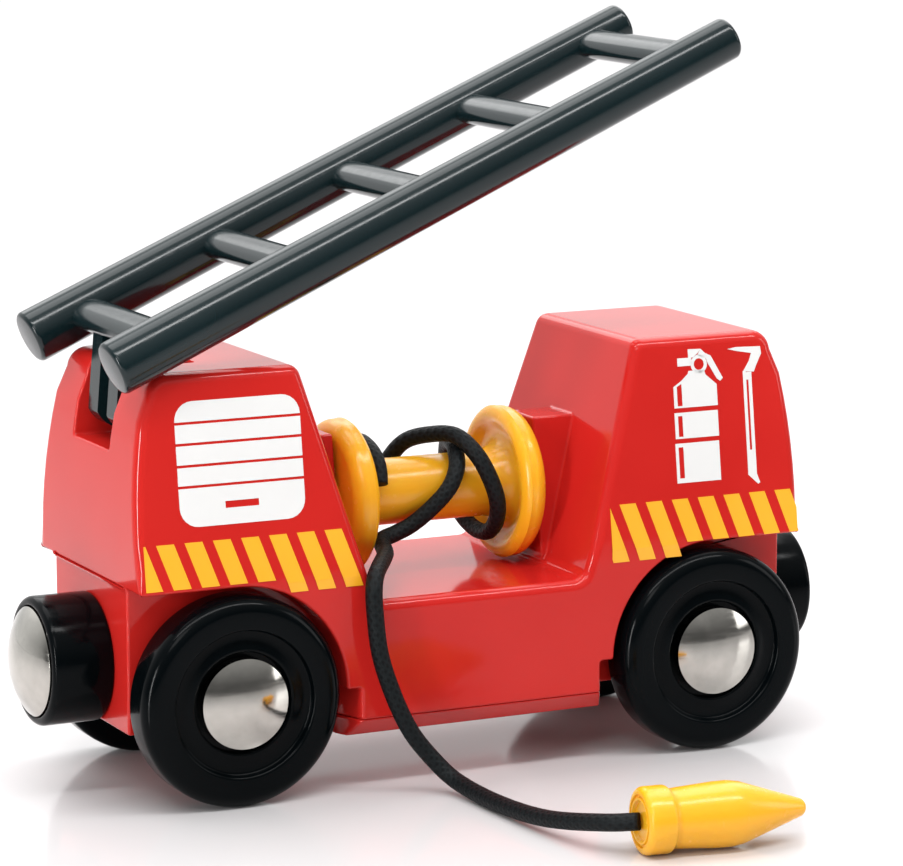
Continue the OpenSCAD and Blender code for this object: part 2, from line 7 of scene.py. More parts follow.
# %% Load the frame
import math
import bpy
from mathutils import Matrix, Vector


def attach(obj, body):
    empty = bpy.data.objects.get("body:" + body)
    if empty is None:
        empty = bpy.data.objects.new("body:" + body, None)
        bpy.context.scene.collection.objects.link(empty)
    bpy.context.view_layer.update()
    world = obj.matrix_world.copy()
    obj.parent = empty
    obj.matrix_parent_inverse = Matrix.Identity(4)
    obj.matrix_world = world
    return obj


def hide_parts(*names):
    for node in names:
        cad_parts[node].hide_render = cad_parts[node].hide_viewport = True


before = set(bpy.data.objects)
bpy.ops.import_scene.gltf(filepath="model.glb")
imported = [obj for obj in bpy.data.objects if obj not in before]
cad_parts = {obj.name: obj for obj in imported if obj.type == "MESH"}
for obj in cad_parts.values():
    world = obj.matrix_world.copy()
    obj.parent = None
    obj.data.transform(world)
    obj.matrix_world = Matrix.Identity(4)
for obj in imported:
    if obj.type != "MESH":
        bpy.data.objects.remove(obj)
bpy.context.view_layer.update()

# %% [markdown]
# ## Camera
# A small toy looks right through a long lens from close by: the far end hardly shrinks, and the floor
# fills the picture. The camera is placed by its distance from an aim point, its turn and its height.

# %% Camera
AIM = Vector((0.0034, 0, 0.0342))
CAMERA_AWAY = 0.4329
CAMERA_TURN = math.radians(26.1)
CAMERA_UP = math.radians(9.88)

look = Vector((math.sin(CAMERA_TURN) * math.cos(CAMERA_UP),
               math.cos(CAMERA_TURN) * math.cos(CAMERA_UP),
               -math.sin(CAMERA_UP)))
camera_data = bpy.data.cameras.new("camera")
camera_data.sensor_width = 36
camera_data.lens = 160.7
camera_data.clip_start = 0.01
camera_data.clip_end = 20
camera = bpy.data.objects.new("camera", camera_data)
bpy.context.scene.collection.objects.link(camera)
camera.location = AIM - look * CAMERA_AWAY
camera.rotation_euler = look.to_track_quat("-Z", "Y").to_euler()
bpy.context.scene.camera = camera
print("camera at", [round(v, 3) for v in camera.location])

# %% [markdown]
# ## Sizes
# The driving sizes of the toy, in millimetres, as its makers would write them. Much of what is
# built below is worked out from these.

# %% Sizes
MM = 0.001
BODY_HALF = 38.5
BODY_HALF_WID = 14.5
TOP_HALF_WID = 11.5
TOP_Z = 44.8
OVERHANG_Z = 22.9
DECK_Z = 20.0
BAY_HALF = 12.5
BAY_LEAN = 0.28
BULGE_R = 64
BULGE_Z = 28
OUTER_R = 2.2
INNER_R = 1.4
CHASSIS_HALF = 10.2
CHASSIS_END = 38.2
SHELL_Z0 = 7.6
MID_HALF = 13.9
WALL = 1.8
WHEEL_R = 11.0
WHEEL_W = 5.0
AXLE_X = 27.5
WHEEL_OUT = 15.7
ARCH_R = 11.9
ARCH_FOOT = AXLE_X - ARCH_R
COUPLER_Z = 14.0
HINGE = (-33.8, 40.55)
PITCH = math.radians(23.6)
REEL_X = -0.15
REEL_Z = 28.5
CORD_D = 1.8


def inner_x(z):
    """x of the blocks' inner faces at a height."""
    return BAY_HALF + BAY_LEAN * (z - DECK_Z)


def outer_x(z):
    """x of the blocks' slightly bulging outer ends at a height."""
    return BODY_HALF - (z - BULGE_Z) ** 2 / (2 * BULGE_R)


def side_y(z):
    """Half width of the blocks at a height."""
    rise = (z - OVERHANG_Z) / (TOP_Z - OVERHANG_Z)
    return BODY_HALF_WID + (TOP_HALF_WID - BODY_HALF_WID) * max(0.0, rise)


def arc(cx, cy, r, a0, a1, n):
    """Points round an arc, from angle a0 to a1 in degrees."""
    steps = [math.radians(a0 + (a1 - a0) * i / n) for i in range(n + 1)]
    return [(cx + r * math.cos(a), cy + r * math.sin(a)) for a in steps]


print("block top", 2 * TOP_HALF_WID, "mm wide at", TOP_Z, "mm")

# %% [markdown]
# ## The hose
# The hose is a limp braided cord. It is never straight: it takes a loose first turn on the drum, crosses
# itself, drops over the edge of the deck and lies on the floor. Its route is a given list of points
# with a smooth curve through them, and the tube round it carries a UV map for the braid.

# %% The hose's route
HOSE_ROUTE = [
    (-7.2, -4.4, 30.2), (-6.9, -3.4, 32), (-6.8, -1.4, 33.3), (-6.9, 1.2, 33.9), (-7.1, 3.8, 33),
    (-6.9, 5.6, 30.4), (-5.6, 6, 27.6), (-3.3, 5.6, 28), (-1.9, 4.2, 31.4), (-0.7, 2.7, 33.3),
    (1, 0.3, 34.2), (2.6, -2.5, 34.4), (4, -4.6, 32.7), (5.2, -5.5, 30.2), (6.2, -5.4, 27.5),
    (6.7, -4.2, 25.2), (6.9, -1.9, 23.5), (6.9, 1.2, 23.2), (6.5, 3.8, 24.4), (6, 5.4, 26.8),
    (5.4, 5.3, 30), (4.6, 3.6, 32.3), (3.8, 0.9, 33.1), (2.9, -2, 32.6), (2.1, -3.9, 31.1),
    (0.8, -4.6, 29.1), (-1.3, -4.4, 27), (-3.3, -3.9, 25.4), (-5.2, -3.8, 24.6), (-7, -4.5, 24.2),
    (-7.7, -6.7, 23.5), (-9, -9.4, 23.5), (-12.9, -15.4, 22.6), (-13.3, -16.3, 19),
    (-12.6, -16.6, 13.8), (-10.2, -17.2, 7.4), (-7.4, -18, 3.4), (-5.6, -20.6, 1.3), (-5, -29, 1),
    (-4.2, -37.6, 1.6), (-2.1, -45.4, 2.9), (0.3, -48.1, 3.4)]


def through(points, splits):
    """A smooth curve through the points, with more points between them."""
    path = []
    for i in range(len(points) - 1):
        a, b, c, d = (points[max(0, min(len(points) - 1, i + k))] for k in (-1, 0, 1, 2))
        for k in range(splits):
            t = k / splits
            path.append(0.5 * (2 * b + (c - a) * t + (2 * a - 5 * b + 4 * c - d) * t ** 2
                               + (3 * b - a - 3 * c + d) * t ** 3))
    return path + [points[-1]]


hose_path = through([Vector(p) * MM for p in HOSE_ROUTE], 5)
hose_length = sum((b - a).length for a, b in zip(hose_path, hose_path[1:]))
print("hose length", round(hose_length, 4), "m, points", len(hose_path))

# %% The hose's tube
HOSE_SIDES = 14


def tube(name, path, radius, sides):
    """A tube along a path, with u round it and v along it, both in metres."""
    verts, faces, uvs = [], [], []
    normal = Vector((0.3, 0.5, 1))
    run = 0.0
    runs = []
    for i, point in enumerate(path):
        ahead = path[min(i + 1, len(path) - 1)]
        behind = path[max(i - 1, 0)]
        along = (ahead - behind).normalized()
        normal = (normal - along * normal.dot(along)).normalized()
        across = along.cross(normal)
        run += (point - behind).length if i else 0.0
        runs.append(run)
        for k in range(sides):
            a = 2 * math.pi * k / sides
            verts.append(point + radius * (math.cos(a) * normal + math.sin(a) * across))
    girth = 2 * math.pi * radius
    for i in range(len(path) - 1):
        for k in range(sides):
            j = (k + 1) % sides
            faces.append((i * sides + k, i * sides + j, (i + 1) * sides + j, (i + 1) * sides + k))
            u0, u1 = girth * k / sides, girth * (k + 1) / sides
            uvs += [(u0, runs[i]), (u1, runs[i]), (u1, runs[i + 1]), (u0, runs[i + 1])]
    for end, order in ((0, -1), (len(path) - 1, 1)):
        faces.append(tuple(end * sides + k for k in range(sides))[::order])
        uvs += [(0.0, runs[end])] * sides
    mesh = bpy.data.meshes.new(name)
    mesh.from_pydata(verts, [], faces)
    layer = mesh.uv_layers.new(name="along")
    for loop, uv in zip(layer.data, uvs):
        loop.uv = uv
    mesh.polygons.foreach_set("use_smooth", [len(f) == 4 for f in faces])
    piece = bpy.data.objects.new(name, mesh)
    bpy.context.scene.collection.objects.link(piece)
    return piece


hose = tube("hose", hose_path, CORD_D / 2 * MM, HOSE_SIDES)
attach(hose, "vehicle")
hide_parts("hose_cord")
print("hose faces", len(hose.data.polygons))

# %% [markdown]
# ## Hand tools for modelling
# Operators act on what is selected, and the frame leaves its nodes selected. These helpers clear the
# selection, pick vertices, edges or faces by their place, and draw an outline by extruding a vertex.

# %% Selection helpers
def only(piece):
    """Makes one object the only selected one, and the active one."""
    bpy.ops.object.select_all(action="DESELECT")
    piece.select_set(True)
    bpy.context.view_layer.objects.active = piece


def choose(piece, kind, test):
    """Enters edit mode with the vertices, edges or faces selected that pass the test."""
    only(piece)
    bpy.ops.object.mode_set(mode="EDIT")
    bpy.ops.mesh.select_mode(type=kind)
    bpy.ops.mesh.select_all(action="DESELECT")
    bpy.ops.object.mode_set(mode="OBJECT")
    mesh = piece.data
    if kind == "VERT":
        for v in mesh.vertices:
            v.select = test(v.co / MM)
    elif kind == "EDGE":
        for e in mesh.edges:
            a, b = (mesh.vertices[i].co / MM for i in e.vertices)
            e.select = test(a, b)
    else:
        for f in mesh.polygons:
            f.select = test(f.center / MM, f.normal)
    bpy.ops.object.mode_set(mode="EDIT")


def leave():
    """Goes back from edit mode to object mode."""
    bpy.ops.object.mode_set(mode="OBJECT")


def outline(name, points, closed):
    """A line of edges through 3-D points in millimetres: one vertex, extruded from point to point."""
    bpy.ops.object.select_all(action="DESELECT")
    bpy.ops.mesh.primitive_plane_add(size=MM)
    piece = bpy.context.object
    piece.name = name
    bpy.ops.object.mode_set(mode="EDIT")
    bpy.ops.mesh.select_mode(type="VERT")
    bpy.ops.mesh.merge(type="CENTER")
    bpy.ops.transform.translate(value=Vector(points[0]) * MM)
    for a, b in zip(points, points[1:]):
        step = (Vector(b) - Vector(a)) * MM
        bpy.ops.mesh.extrude_region_move(TRANSFORM_OT_translate={"value": step})
    if closed:
        bpy.ops.mesh.select_all(action="SELECT")
        bpy.ops.mesh.edge_face_add()
    leave()
    return piece


def outward():
    """Merges doubles and points all faces outwards, in edit mode."""
    bpy.ops.mesh.select_all(action="SELECT")
    bpy.ops.mesh.remove_doubles(threshold=0.002 * MM)
    bpy.ops.mesh.normals_make_consistent(inside=False)


def prism(name, points, way):
    """A closed outline pushed along a vector, both in millimetres."""
    piece = outline(name, points, True)
    bpy.ops.object.mode_set(mode="EDIT")
    bpy.ops.mesh.select_all(action="SELECT")
    bpy.ops.mesh.extrude_region_move(TRANSFORM_OT_translate={"value": Vector(way) * MM})
    outward()
    leave()
    return piece


def smooth(piece, degrees=35):
    """Shades a piece smooth, apart from edges that are sharper than the angle."""
    only(piece)
    bpy.ops.object.shade_smooth_by_angle(angle=math.radians(degrees))
    return piece


def spun(name, profile, centre, axis, steps=96):
    """A turned piece: (radius, height) points in millimetres, spun about an axis through the centre."""
    axis = Vector(axis)
    side = Vector((0, 0, 1)) if abs(axis.z) < 0.5 else Vector((1, 0, 0))
    base = Vector(centre)
    piece = outline(name, [base + side * r + axis * h for r, h in profile], False)
    bpy.ops.object.mode_set(mode="EDIT")
    bpy.ops.mesh.select_all(action="SELECT")
    bpy.ops.mesh.spin(steps=steps, angle=2 * math.pi, center=base * MM, axis=axis)
    outward()
    leave()
    return smooth(piece)


def apply_modifier(piece, kind, **settings):
    """Adds a modifier with its settings and applies it."""
    only(piece)
    modifier = piece.modifiers.new(kind.lower(), kind)
    for key, value in settings.items():
        setattr(modifier, key, value)
    bpy.ops.object.modifier_apply(modifier=modifier.name)


def combine(piece, other, operation):
    """Cuts the other piece away, or fuses it on, and removes it."""
    apply_modifier(piece, "BOOLEAN", operation=operation, solver="EXACT", object=other)
    bpy.data.objects.remove(other)


def rounded(piece, width, segments=3, degrees=35, clamp=False):
    """Rounds every edge that is sharper than an angle, and keeps the large faces' shading flat."""
    apply_modifier(piece, "BEVEL", width=width * MM, segments=segments, limit_method="ANGLE",
                   angle_limit=math.radians(degrees), use_clamp_overlap=clamp, miter_outer="MITER_ARC")
    smooth(piece)
    apply_modifier(piece, "WEIGHTED_NORMAL", weight=60, keep_sharp=True)
    return piece


def finished(piece, body, slot, *nodes):
    """Attaches a piece to the body it rides on and hides the engineering nodes it stands for. The slot is
    not used.
    """
    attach(piece, body)
    if nodes:
        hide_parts(*nodes)
    return piece


print("helpers ready")

# %% [markdown]
# ## Finishes
# The toy is made of a few glossy plastics, plated steel and a braided cord. Each finish mixes slow colour
# drift, a little unevenness of the mould in the bump, and fine scuffs in the roughness.

# %% Material helpers
def node(tree, kind, **settings):
    """A shader node, with values for its sockets or for its own settings."""
    made = tree.nodes.new(kind)
    for key, value in settings.items():
        if key in made.inputs:
            made.inputs[key].default_value = value
        else:
            setattr(made, key, value)
    return made


def new_finish(name):
    """A material with its shader, its links and its object coordinates."""
    material = bpy.data.materials.new(name)
    material.use_nodes = True
    tree = material.node_tree
    shader = tree.nodes["Principled BSDF"]
    place = node(tree, "ShaderNodeTexCoord").outputs["Object"]
    return material, tree, shader, place


def noise(tree, place, scale, detail=3.0):
    """Soft random spots; the scale is how many fit in a metre."""
    made = node(tree, "ShaderNodeTexNoise", Scale=scale, Detail=detail)
    tree.links.new(place, made.inputs["Vector"])
    return made.outputs["Fac"]


def spread(tree, value, low, high, start=0.35, stop=0.65):
    """Stretches a value from start..stop to low..high."""
    made = node(tree, "ShaderNodeMapRange")
    for key, number in (("From Min", start), ("From Max", stop), ("To Min", low), ("To Max", high)):
        made.inputs[key].default_value = number
    tree.links.new(value, made.inputs["Value"])
    return made.outputs["Result"]


def two_colours(tree, value, first, second):
    """A colour between two, from a value between 0 and 1."""
    made = node(tree, "ShaderNodeMix", data_type="RGBA")
    made.inputs["A"].default_value = (*first, 1)
    made.inputs["B"].default_value = (*second, 1)
    tree.links.new(value, made.inputs["Factor"])
    return made.outputs["Result"]


def bumped(tree, shader, value, strength, distance):
    """Small hills and dents in the shading, from a value."""
    made = node(tree, "ShaderNodeBump", Strength=strength, Distance=distance)
    tree.links.new(value, made.inputs["Height"])
    tree.links.new(made.outputs["Normal"], shader.inputs["Normal"])


def plastic(name, light, dark, rough, scuff, bump=0.12, shine=0.5):
    """Moulded plastic: two close colours in slow drift, faint flow marks and fine scuffs."""
    material, tree, shader, place = new_finish(name)
    drift = spread(tree, noise(tree, place, 45, 2), 0, 1)
    tree.links.new(two_colours(tree, drift, dark, light), shader.inputs["Base Color"])
    worn = spread(tree, noise(tree, place, 900, 6), rough, rough + scuff, 0.4, 0.75)
    tree.links.new(worn, shader.inputs["Roughness"])
    shader.inputs["IOR"].default_value = 1.5
    shader.inputs["Specular IOR Level"].default_value = shine
    bumped(tree, shader, noise(tree, place, 140, 2), bump, 0.05 * MM)
    return material


def dress(piece, material):
    """Gives a piece one material in place of those it has."""
    piece.data.materials.clear()
    piece.data.materials.append(material)


print("material helpers ready")

# %% The plastics
red = plastic("glossy_red", (0.55, 0.019, 0.015), (0.50, 0.015, 0.012), 0.07, 0.07, shine=0.28)
black = plastic("glossy_black", (0.0012, 0.0022, 0.0028), (0.0008, 0.0016, 0.0020), 0.12, 0.10,
                shine=0.07)
dark_green = plastic("ladder_green", (0.0042, 0.0125, 0.0145), (0.0034, 0.0105, 0.0120), 0.14, 0.07,
                     shine=0.36)
yellow = plastic("warm_yellow", (0.86, 0.43, 0.017), (0.82, 0.39, 0.014), 0.20, 0.10, 0.05, 0.4)
# Light goes a little way into the yellow plastic: red the furthest, in metres.
waxy = yellow.node_tree.nodes["Principled BSDF"]
waxy.inputs["Subsurface Weight"].default_value = 0.25
waxy.inputs["Subsurface Radius"].default_value = (0.0030, 0.0014, 0.0004)
waxy.inputs["Subsurface Scale"].default_value = 1.0
print("plastics", [m.name for m in (red, black, dark_green, yellow)])

# %% The metals
def metal(name, light, dark, rough, scratch):
    """Plated or drawn metal: fine scratches in one direction and small dents."""
    material, tree, shader, place = new_finish(name)
    shader.inputs["Metallic"].default_value = 1.0
    drift = spread(tree, noise(tree, place, 260, 4), 0, 1)
    tree.links.new(two_colours(tree, drift, dark, light), shader.inputs["Base Color"])
    stretch = node(tree, "ShaderNodeMapping")
    stretch.inputs["Scale"].default_value = (260, 260, 2600)
    tree.links.new(place, stretch.inputs["Vector"])
    lines = noise(tree, stretch.outputs["Vector"], 1.0, 5)
    tree.links.new(spread(tree, lines, rough, rough + scratch, 0.45, 0.8), shader.inputs["Roughness"])
    bumped(tree, shader, noise(tree, place, 420, 4), 0.10, 0.05 * MM)
    return material


nickel = metal("bright_nickel", (0.54, 0.52, 0.48), (0.40, 0.39, 0.36), 0.10, 0.12)
steel = metal("plain_steel", (0.55, 0.55, 0.56), (0.45, 0.45, 0.46), 0.28, 0.15)
print("metals", nickel.name, steel.name)

# %% The braid
YARN_TURN = 38
YARNS_PER_METRE = 520.0


def braid():
    """Two crossed sets of yarns, drawn on the hose's own UV map."""
    material, tree, shader, place = new_finish("hose_braid")
    uv = node(tree, "ShaderNodeUVMap", uv_map="along").outputs["UV"]
    yarns = []
    for turn in (math.radians(YARN_TURN), math.radians(-YARN_TURN)):
        turned = node(tree, "ShaderNodeMapping")
        turned.inputs["Rotation"].default_value = (0, 0, turn)
        tree.links.new(uv, turned.inputs["Vector"])
        wave = node(tree, "ShaderNodeTexWave", Scale=YARNS_PER_METRE)
        tree.links.new(turned.outputs["Vector"], wave.inputs["Vector"])
        yarns.append(wave.outputs["Fac"])
    over = node(tree, "ShaderNodeMath", operation="MAXIMUM")
    tree.links.new(yarns[0], over.inputs[0])
    tree.links.new(yarns[1], over.inputs[1])
    colour = two_colours(tree, over.outputs[0], (0.0010, 0.0014, 0.0018), (0.0060, 0.0085, 0.0095))
    tree.links.new(colour, shader.inputs["Base Color"])
    shader.inputs["Roughness"].default_value = 0.55
    shader.inputs["Specular IOR Level"].default_value = 0.15
    bumped(tree, shader, over.outputs[0], 0.6, 0.08 * MM)
    return material


dress(hose, braid())
print("braid on", hose.name)

# %% [markdown]
# ## The body
# The real body is one hollow moulding. Its side view is pushed through its width, both flanks are cut
# back to a slope above the wheels, and the arches, the ladder's slot and the hollow are cut out with
# solid shapes. The corners are rounded before those cuts, and the finer edges after them.

# %% The body's side view
DECK_FILLET = 1.5


def block_line():
    """From the inner corner, over the top and down the bulging outer end."""
    lean = math.degrees(math.atan(BAY_LEAN))
    inner_c = inner_x(TOP_Z) + INNER_R * math.tan(math.radians(45 - lean / 2))
    outer_c = outer_x(TOP_Z) - OUTER_R
    fall = [TOP_Z - OUTER_R + (OVERHANG_Z - TOP_Z + OUTER_R) * i / 8 for i in range(1, 9)]
    return (arc(inner_c, TOP_Z - INNER_R, INNER_R, 180 - lean, 90, 6)
            + arc(outer_c, TOP_Z - OUTER_R, OUTER_R, 90, 4, 7)
            + [(outer_x(z), z) for z in fall])


right = (arc(BAY_HALF - DECK_FILLET, DECK_Z + DECK_FILLET, DECK_FILLET, 270, 345, 5) + block_line()
         + [(CHASSIS_END, OVERHANG_Z), (CHASSIS_END, SHELL_Z0)])
side_view = [(-x, z) for x, z in reversed(right)] + right
body = prism("body", [(x, -BODY_HALF_WID, z) for x, z in side_view], (0, 2 * BODY_HALF_WID, 0))
print("body block", len(body.data.polygons), "faces")

# %% Slope the flanks and round the blocks' corners
CORNER_ROUND = 1.1
FOOT_ROUND = 1.5
flank_lean = math.atan((BODY_HALF_WID - TOP_HALF_WID) / (TOP_Z - OVERHANG_Z))
for sy in (-1, 1):
    choose(body, "FACE", lambda centre, normal: True)
    bpy.ops.mesh.bisect(plane_co=Vector((0, sy * BODY_HALF_WID, OVERHANG_Z)) * MM,
                        plane_no=(0, sy * math.cos(flank_lean), math.sin(flank_lean)),
                        use_fill=True, clear_outer=True)
    leave()


def on_flank(p):
    """Whether a point lies on a sloping flank."""
    return p.z > OVERHANG_Z - 0.01 and abs(abs(p.y) - side_y(p.z)) < 0.02


def by_deck(p):
    """Whether a point lies on a side of the body between the blocks, above the deck."""
    return p.z > DECK_Z - 0.01 and abs(p.x) < MID_HALF and abs(abs(p.y) - side_y(p.z)) < 0.02


def block_corner(a, b):
    """Edges round each sloping flank, except its foot, and along the deck."""
    same_side = a.y * b.y > 0
    round_flank = on_flank(a) and on_flank(b) and max(a.z, b.z) > OVERHANG_Z + 0.3
    return same_side and (round_flank or (by_deck(a) and by_deck(b)))


choose(body, "EDGE", block_corner)
bpy.ops.mesh.bevel(offset=CORNER_ROUND * MM, segments=4, affect="EDGES", clamp_overlap=False)
leave()


def flank_foot(a, b):
    """The long edge where a flank starts to lean in."""
    return all(abs(p.z - OVERHANG_Z) < 0.01 and abs(abs(p.y) - BODY_HALF_WID) < 0.01 for p in (a, b))


choose(body, "EDGE", flank_foot)
bpy.ops.mesh.bevel(offset=FOOT_ROUND * MM, segments=3, affect="EDGES", clamp_overlap=False)
leave()
print("rounded body", len(body.data.polygons), "faces")

# %% Cut the arches, the slot and the hollow
def box_cut(lo, hi):
    """A box from its lowest corner to its highest."""
    plan = [(lo[0], lo[1]), (hi[0], lo[1]), (hi[0], hi[1]), (lo[0], hi[1])]
    return prism("cut", [(x, y, lo[2]) for x, y in plan], (0, 0, hi[2] - lo[2]))


OUT = 18.0
FLOOR_OF_CUTS = 5.0
SLOT_HALF = 5
SLOT_Z = 36.4
SLOT_END = HINGE[0] + 5.3
END_HOLLOW = (36.4, 8.4)
BAY_HOLLOW = (12.1, 12.7)
arch_line = ([(BODY_HALF + 1, WHEEL_R - 0.5), (ARCH_FOOT + 0.1, WHEEL_R - 0.5)]
             + arc(AXLE_X, WHEEL_R, ARCH_R, 180, 90, 24) + [(BODY_HALF + 1, OVERHANG_Z)])
foot_plan = [(ARCH_FOOT, CHASSIS_HALF), (MID_HALF, BODY_HALF_WID), (MID_HALF, OUT), (BODY_HALF + 1, OUT),
             (BODY_HALF + 1, CHASSIS_HALF)]
for sx in (-1, 1):
    for sy in (-1, 1):
        combine(body, prism("cut", [(sx * x, sy * y, FLOOR_OF_CUTS) for x, y in foot_plan], (0, 0, 6.03)),
                "DIFFERENCE")
        combine(body, prism("cut", [(sx * x, sy * CHASSIS_HALF, z) for x, z in arch_line],
                            (0, sy * (OUT - CHASSIS_HALF), 0)), "DIFFERENCE")
combine(body, box_cut((-45, -SLOT_HALF, SLOT_Z), (SLOT_END, SLOT_HALF, 50)), "DIFFERENCE")
for long, wide in (END_HOLLOW, BAY_HOLLOW):
    combine(body, box_cut((-long, -wide, FLOOR_OF_CUTS), (long, wide, DECK_Z - WALL)), "DIFFERENCE")
print("cut body", len(body.data.polygons), "faces")

# %% The reel's pillars, and the fine rounding
PILLAR_X = 11.8
PILLAR_TOP = 35.7
PILLAR_FOOT_HALF = 5.2
PILLAR_TOP_HALF = 2.7
EDGE_ROUND = 0.3
for sx in (-1, 1):
    pillar = [(sx * PILLAR_X, y, z) for y, z in
              ((PILLAR_FOOT_HALF, DECK_Z - 1), (PILLAR_TOP_HALF, PILLAR_TOP),
               (-PILLAR_TOP_HALF, PILLAR_TOP), (-PILLAR_FOOT_HALF, DECK_Z - 1))]
    combine(body, prism("pillar", pillar, (sx * 6, 0, 0)), "UNION")
rounded(body, EDGE_ROUND)
dress(body, red)
finished(body, "vehicle", "red_plastic", "body_shell")
print("body", len(body.data.polygons), "faces")

# %% [markdown]
# ## The base pan
# A second moulding closes the shell from below. Between the wheels it hangs a little lower, with a
# chamfer along each side that catches the light.

# %% Base pan
PAN_T = 2.0
PAN_TAPER = 0.2
PAN_EDGE_ROUND = 0.25
pan_foot = CHASSIS_HALF + (BODY_HALF_WID - CHASSIS_HALF) * PAN_TAPER
pan_plan = [(ARCH_FOOT, -pan_foot), (ARCH_FOOT, pan_foot), (MID_HALF, BODY_HALF_WID),
            (-MID_HALF, BODY_HALF_WID), (-ARCH_FOOT, pan_foot), (-ARCH_FOOT, -pan_foot),
            (-MID_HALF, -BODY_HALF_WID), (MID_HALF, -BODY_HALF_WID)]
pan = prism("base_pan", [(x, y, SHELL_Z0 - PAN_T) for x, y in pan_plan], (0, 0, PAN_T))
for sy in (-1, 1):
    choose(pan, "FACE", lambda centre, normal: True)
    bpy.ops.mesh.bisect(plane_co=Vector((0, sy * (BODY_HALF_WID - PAN_T), SHELL_Z0 - PAN_T)) * MM,
                        plane_no=(0, sy * math.sqrt(0.5), -math.sqrt(0.5)), use_fill=True, clear_outer=True)
    leave()
combine(pan, box_cut((-36.3, -8.3, SHELL_Z0 - 0.001), (36.3, 8.3, SHELL_Z0 + 1.6)), "UNION")
rounded(pan, PAN_EDGE_ROUND)
dress(pan, red)
finished(pan, "vehicle", "red_plastic", "base_plate")
print("pan", len(pan.data.polygons), "faces")

# %% [markdown]
# ## Wheels and hub caps
# A turned profile gives the tyre's round shoulder, the step inside it, the rings of the recessed face
# and the pocket for the hub cap. One profile is spun for each corner, so each copy has its own mesh.

# %% Wheels
STEP_R = 0.69 * WHEEL_R
HUB_R = 4.7
AXLE_R = 1.25
POCKET = 1.6
wheel_profile = (
    [(AXLE_R, 0), (WHEEL_R - 0.9, 0)] + arc(WHEEL_R - 0.9, 0.9, 0.9, 270, 360, 6)
    + arc(WHEEL_R - 1.6, WHEEL_W - 1.6, 1.6, 0, 90, 12)
    + arc(STEP_R + 0.35, WHEEL_W - 0.35, 0.35, 90, 180, 5)
    + arc(STEP_R - 0.3, WHEEL_W - 0.55, 0.3, 0, -90, 4)
    + [(6.3, WHEEL_W - 0.85), (5.9, WHEEL_W - 0.7)] + arc(5.55, WHEEL_W - 0.95, 0.3, 60, 180, 5)
    + [(5.25, WHEEL_W - POCKET), (AXLE_R, WHEEL_W - POCKET)])
corners = {"front_left": (1, 1), "front_right": (1, -1), "rear_left": (-1, 1), "rear_right": (-1, -1)}
for name, (sx, sy) in corners.items():
    centre = (sx * AXLE_X, sy * (WHEEL_OUT - WHEEL_W), WHEEL_R)
    wheel = spun(name + "_tyre_and_rim", wheel_profile, centre, (0, sy, 0), 128)
    dress(wheel, black)
    finished(wheel, name.split("_")[0] + "_wheelset", "black_plastic", name + "_wheel")
print("wheel", len(wheel.data.polygons), "faces")

# %% Hub caps
CAP_EDGE = 0.15
CAP_WALL = 1.5
CAP_RISE = 1.0


def dome(r, rise, n=10):
    """(radius, height) points of a shallow dome, from its rim to its top."""
    ball = (r * r + rise * rise) / (2 * rise)
    edge = math.degrees(math.asin(r / ball))
    return [(x, y) for x, y in arc(0, rise - ball, ball, 90 - edge, 90, n)]


cap_profile = ([(0, 0), (HUB_R - CAP_EDGE, 0), (HUB_R, CAP_EDGE)]
               + [(x, y + CAP_WALL) for x, y in dome(HUB_R, CAP_RISE)])
for name, (sx, sy) in corners.items():
    centre = (sx * AXLE_X, sy * (WHEEL_OUT - POCKET), WHEEL_R)
    cap = spun(name + "_cap", cap_profile, centre, (0, sy, 0))
    dress(cap, nickel)
    finished(cap, name.split("_")[0] + "_wheelset", "nickel", name + "_hub_cap")
print("hub cap", len(cap.data.polygons), "faces")

# %% [markdown]
# ## Couplers
# Each end carries a black cup with a domed disc magnet. Both are turned pieces about the long axis.

# %% Couplers
CUP_R = 6.75
CUP_LEN = 6.6
CUP_FLOOR = 2.0
CUP_BORE = 1
MAGNET_R = 5.7
MAGNET_RISE = 1.7
cup_profile = ([(CUP_BORE, 0), (CUP_R - 0.4, 0)] + arc(CUP_R - 0.4, 0.4, 0.4, 270, 360, 4)
               + arc(CUP_R - 0.7, CUP_LEN - 0.7, 0.7, 0, 90, 7)
               + arc(MAGNET_R + 0.3, CUP_LEN - 0.2, 0.2, 90, 180, 3)
               + [(MAGNET_R + 0.1, CUP_FLOOR), (CUP_BORE, CUP_FLOOR), (CUP_BORE, 0)])
magnet_profile = [(0, CUP_FLOOR), (MAGNET_R, CUP_FLOOR), (MAGNET_R, CUP_LEN + 0.1)] + [
    (x * (MAGNET_R - 0.2) / MAGNET_R, y + CUP_LEN + 0.3) for x, y in dome(MAGNET_R, MAGNET_RISE, 12)]
for name, sx in (("front", 1), ("rear", -1)):
    centre = (sx * CHASSIS_END, 0, COUPLER_Z)
    cup = spun(name + "_cup", cup_profile, centre, (sx, 0, 0))
    dress(cup, black)
    finished(cup, "vehicle", "black_plastic", name + "_coupler_cup")
    magnet = spun(name + "_pole", magnet_profile, centre, (sx, 0, 0))
    dress(magnet, nickel)
    finished(magnet, "vehicle", "nickel", name + "_magnet")
print("coupler", len(cup.data.polygons), len(magnet.data.polygons), "faces")

# %% [markdown]
# ## The ladder
# One moulding: two tapering round rails, five flattened rungs and two short legs on a pin. It is built
# level, from turned rails, squashed cylinders and flat legs. They are fused, rounded where they meet
# the air, and then tipped about the pin.

# %% Ladder
RAIL_BACK = 3.7
RAIL_RISE = 7.3
RAIL_LEN = 77.0
RAIL_HALF_GAP = 11.9
RUNG_FIRST = 6.4
RUNG_PITCH = 16.35
RUNG_R = 1.4
RUNG_STRETCH = 1.5
LEG_R = 3.1
LEG_FROM = 1.3
LEG_WIDE = 2.6
PIN_BORE_R = 1.05


